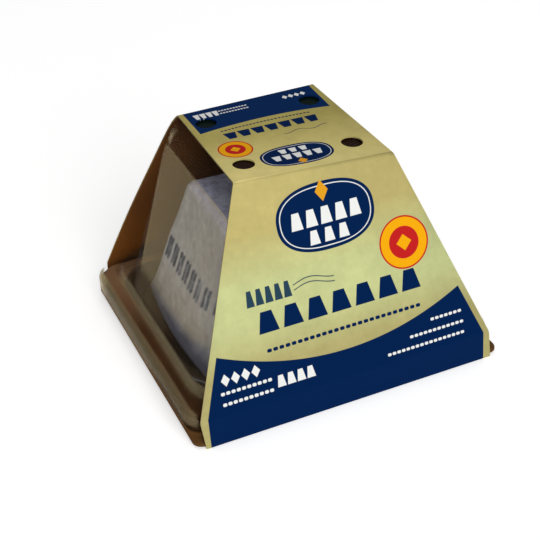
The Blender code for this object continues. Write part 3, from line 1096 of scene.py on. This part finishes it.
def settle(point):
    """Lower a point of the dome's cap by the sag, fading out down to the shoulder."""
    share = share_of_way(point.z, SHOULDER_HEIGHT, DOME_TOP)
    return Vector((point.x, point.y, point.z - share * sag(point.x, point.y)))


def cone_radius(z):
    """Corner radius of the dome's wall, which is a cone with its tip at the shoulder."""
    return CORNER_GROWTH * (SHOULDER_HEIGHT - z) + SHOULDER_CORNER


def dome_sections():
    """Sections of the dome, from the foot of its skirt to its top."""
    band_x = SHOULDER_HALF_WIDTH + PANEL_SLOPE * (SHOULDER_HEIGHT - BAND_HEIGHT)
    band_y = panel_half_depth(BAND_HEIGHT) - face_gap()
    shoulder_y = panel_half_depth(SHOULDER_HEIGHT) - face_gap()
    rim = []
    for inset, z in RIM_PROFILE:
        half_depth = RIM_HALF_DEPTH - RIM_INSET_IN_DEPTH * inset
        rim.append((RIM_HALF_WIDTH - inset, half_depth, RIM_CORNER, z, RIM_SHIFT))
    band = [(band_x + out_x, band_y + out_y, BAND_CORNER, z) for out_x, out_y, z in BAND_PROFILE]
    wall = [
        (band_x, band_y, cone_radius(BAND_HEIGHT), BAND_HEIGHT),
        (SHOULDER_HALF_WIDTH, shoulder_y, SHOULDER_CORNER, SHOULDER_HEIGHT),
    ]
    cap = [
        (half_width, panel_half_depth(z) - face_gap() - inset, corner, z)
        for half_width, inset, corner, z in CAP_PROFILE
    ]
    return rim + band + wall + cap


def build_dome():
    rings = [
        [settle(point) for point in rounded_ring(*section)]
        for section in softened(dome_sections(), DOME_BENDS)
    ]
    mesh = loft("dome_shell", rings, settle(Vector((0.0, 0.0, DOME_TOP))))
    dome = add_piece("dome_shell", mesh, [clear_plastic()], "dome")
    add_wall(dome, PLASTIC_THICKNESS)


def tray_sections():
    """Sections of the tray, from the foot of its flange to its middle."""
    inset = PLASTIC_THICKNESS + CLEARANCE
    half_width = RIM_HALF_WIDTH - inset
    half_depth = RIM_HALF_DEPTH - inset
    corner = RIM_CORNER - inset
    flange = (FLANGE_HALF_WIDTH, FLANGE_HALF_DEPTH, FLANGE_CORNER)
    skirt = (half_width, half_depth, corner)
    shoulder = (half_width - TRAY_LEAN_IN_WIDTH, half_depth - TRAY_LEAN_IN_DEPTH, corner)
    return [
        (*flange, CARD_THICKNESS + CLEARANCE, FLANGE_SHIFT),
        (*flange, FLANGE_HEIGHT, FLANGE_SHIFT),
        (*skirt, TRAY_SKIRT_FOOT, RIM_SHIFT),
        (*skirt, TRAY_SKIRT_TOP, RIM_SHIFT),
        (*shoulder, TRAY_RIM_HEIGHT, RIM_SHIFT),
        *TRAY_BASIN,
    ]


def build_tray():
    rings = [rounded_ring(*section) for section in softened(tray_sections(), TRAY_BENDS)]
    mesh = loft("tray_shell", rings, Vector((0.0, 0.0, PLATFORM_HEIGHT)))
    tray = add_piece("tray_shell", mesh, [brown_plastic()], "tray")
    add_wall(tray, PLASTIC_THICKNESS)


def cheese_point(unit):
    """Move a point of the unit cube's surface onto the soft pyramid with its spread foot."""
    spread = Vector([math.sin(0.5 * math.pi * value) for value in unit])
    half_height = CHEESE_HEIGHT / 2
    half = (CHEESE_BASE_HALF + CHEESE_TOP_HALF) / 2
    block = Vector((spread.x * half, spread.y * half, spread.z * half_height))
    inner = Vector((half - CHEESE_ROUNDING, half - CHEESE_ROUNDING, half_height - CHEESE_ROUNDING))
    core = Vector([max(-limit, min(limit, value)) for value, limit in zip(block, inner)])
    soft = core + (block - core).normalized() * CHEESE_ROUNDING
    height = soft.z + half_height
    width = CHEESE_BASE_HALF + height / CHEESE_HEIGHT * (CHEESE_TOP_HALF - CHEESE_BASE_HALF)
    across, along = soft.x / half, soft.y / half
    low = max(1 - height / SPREAD_HEIGHT, 0.0) ** 2
    side = SIDE_SPREAD * low * (1 - CORNER_FADE * along * along)
    front = FRONT_SPREAD * low * (1 - CORNER_FADE * across * across)
    return Vector((across * (width + side), along * (width + front), height))


def rind_relief(point):
    """Hollows, wrinkles and grit of the rind, fading out on the flat underside."""
    hollow = waves(point, per_metre=70.0) + 0.5 * waves(point, per_metre=190.0)
    wrinkle = 1.0 - 2.0 * abs(waves(point, per_metre=330.0, shift=WRINKLE_SHIFT))
    grain = waves(point, per_metre=900.0)
    fade = min(point.z / RELIEF_FADE, 1.0)
    return fade * (HOLLOWS * hollow + WRINKLES * wrinkle + GRIT * grain)


def build_cheese():
    bm = bmesh.new()
    bmesh.ops.create_cube(bm, size=2.0)
    bmesh.ops.subdivide_edges(bm, edges=bm.edges, cuts=CHEESE_CUTS, use_grid_fill=True)
    for vert in bm.verts:
        vert.co = cheese_point(vert.co)
    bm.normal_update()
    moved = [(vert, vert.co + vert.normal * rind_relief(vert.co)) for vert in bm.verts]
    for vert, place in moved:
        vert.co = place + Vector((0.0, 0.0, CHEESE_FOOT))
    mesh = mesh_from_bmesh("cheese_rind", bm)
    mesh.shade_smooth()
    add_piece("cheese_rind", mesh, [ash_rind()], "cheese")


def add_floor():
    """A wide pale floor, which isn't part of the object."""
    bm = bmesh.new()
    bmesh.ops.create_grid(bm, x_segments=1, y_segments=1, size=FLOOR_HALF_SIZE)
    floor = bpy.data.objects.new("floor", mesh_from_bmesh("floor", bm))
    bpy.context.scene.collection.objects.link(floor)
    floor.data.materials.append(pale_floor())


def add_softbox(name, place, size, power):
    """A square area light that faces the middle of the pack."""
    lamp = bpy.data.lights.new(name, "AREA")
    lamp.size = size
    lamp.energy = power
    item = bpy.data.objects.new(name, lamp)
    item.location = place
    item.rotation_euler = (LAMP_AIM - item.location).to_track_quat("-Z", "Y").to_euler()
    bpy.context.scene.collection.objects.link(item)


def add_studio():
    """Soft white light all round, and the softboxes."""
    world = bpy.data.worlds.new("studio")
    world.use_nodes = True
    background = world.node_tree.nodes["Background"]
    background.inputs["Color"].default_value = (*WHITE, 1.0)
    background.inputs["Strength"].default_value = WORLD_STRENGTH
    bpy.context.scene.world = world
    bpy.context.scene.view_settings.view_transform = "Standard"
    for softbox in SOFTBOXES:
        add_softbox(*softbox)


def add_camera():
    """The photo's camera, turned by its azimuth, its elevation and its roll."""
    azimuth = math.radians(CAMERA_AZIMUTH)
    elevation = math.radians(CAMERA_ELEVATION)
    level = math.cos(elevation)
    forward = Vector((math.sin(azimuth) * level, math.cos(azimuth) * level, -math.sin(elevation)))
    flat_right = Vector((math.cos(azimuth), -math.sin(azimuth), 0.0))
    right = Matrix.Rotation(math.radians(CAMERA_ROLL), 3, forward) @ flat_right
    up = right.cross(forward)
    camera = bpy.data.objects.new("camera", bpy.data.cameras.new("camera"))
    camera.data.lens = CAMERA_LENS
    camera.data.sensor_width = CAMERA_SENSOR
    camera.data.clip_start = CAMERA_CLIP
    turn = Matrix((right, up, -forward)).transposed().to_4x4()
    camera.matrix_world = Matrix.Translation(CAMERA_PLACE) @ turn
    bpy.context.scene.collection.objects.link(camera)
    bpy.context.scene.camera = camera


add_camera()
add_studio()
add_floor()
build_cheese()
build_tray()
build_dome()
build_sleeve()
